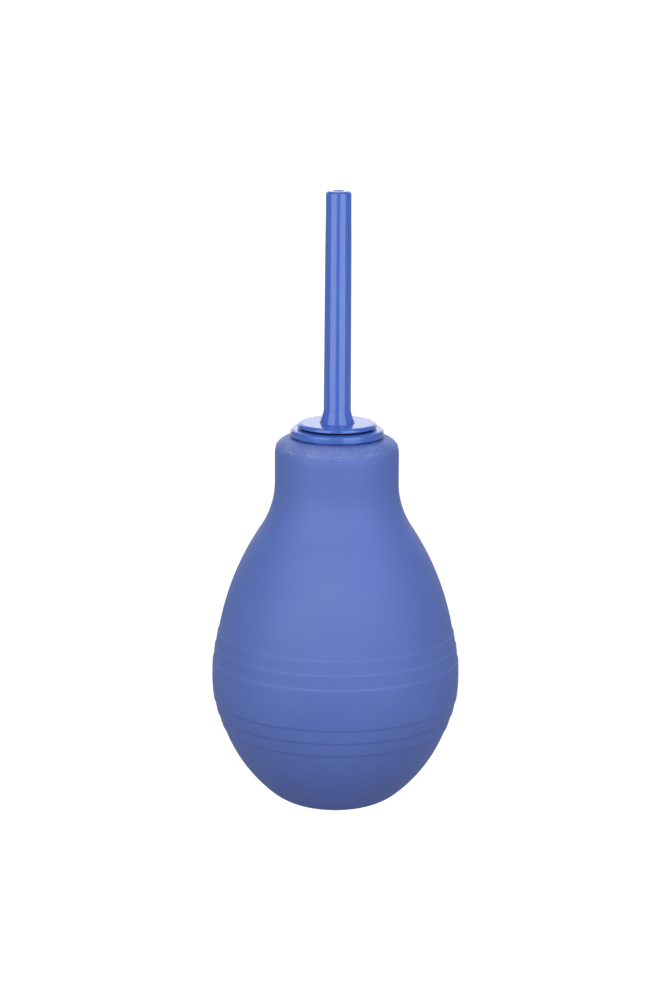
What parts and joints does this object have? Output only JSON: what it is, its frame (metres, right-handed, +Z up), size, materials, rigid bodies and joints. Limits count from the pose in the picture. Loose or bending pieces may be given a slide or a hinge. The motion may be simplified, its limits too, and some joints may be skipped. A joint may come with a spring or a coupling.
{
  "type": "bulb syringe",
  "caption": "Hand-squeezed rubber bulb with raised bands, a threaded neck collar and a long slender screw-in nozzle for drawing up or expelling liquid or air.",
  "frame": {"origin": "centre of the flat foot that the bulb stands on", "axes": "+Z up along the common axis of bulb and nozzle; round about it, so +X and +Y are free"},
  "size_m": [0.0762, 0.0762, 0.19],
  "materials": {
    "bulb_rubber": "soft satin moulded rubber",
    "collar_plastic": "polished moulded plastic",
    "gasket_rubber": "matte rubber",
    "nozzle_plastic": "polished moulded plastic"
  },
  "bodies": {
    "bulb": {"squeeze_bulb": "bulb_rubber"},
    "collar": {"neck_collar": "collar_plastic"},
    "seal": {"gasket": "gasket_rubber"},
    "nozzle": {"nozzle": "nozzle_plastic"}
  },
  "joints": [
    {"name": "bulb_squeeze", "type": "slide", "parent": "bulb", "child": "collar", "axis": [0, 0, 1], "range_m": [-0.025, 0], "stiffness_N_per_m": 1500, "deforming": ["squeeze_bulb"]},
    {"name": "nozzle_lift", "type": "slide", "parent": "collar", "child": "seal", "axis": [0, 0, 1], "range_m": [0, 0.009]},
    {"name": "nozzle_turn", "type": "hinge", "parent": "seal", "child": "nozzle", "pos_m": [0, 0, 0.1185], "axis": [0, 0, 1], "range_deg": [0, 1080]}
  ],
  "couplings": [
    {"joint": "nozzle_turn", "follows": "nozzle_lift", "rad_per_m": 2094.4}
  ]
}
